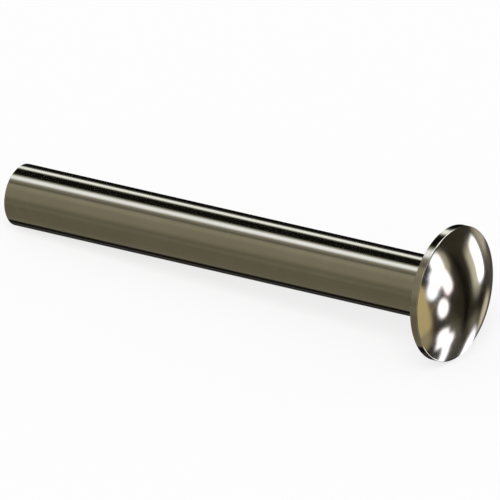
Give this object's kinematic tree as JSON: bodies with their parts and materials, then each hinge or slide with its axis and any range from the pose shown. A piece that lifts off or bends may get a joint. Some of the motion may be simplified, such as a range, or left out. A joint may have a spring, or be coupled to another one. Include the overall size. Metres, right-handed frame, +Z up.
{
  "type": "semi-tubular rivet",
  "caption": "Semi-tubular rivet: a wide low domed head with a rim band, a plain round shank and a blind hole in the tail that is rolled over to fasten sheets.",
  "frame": {"origin": "on the bench, under the middle of the lying rivet's box", "axes": "+Z up, +X along the rivet from tail to head, whose axis climbs 4.15 degrees towards the head, +Y across"},
  "size_m": [0.04, 0.0102, 0.0103],
  "materials": {
    "rivet_metal": "polished, dark nickel plate"
  },
  "bodies": {
    "root": {"rivet": "rivet_metal"}
  },
  "joints": []
}
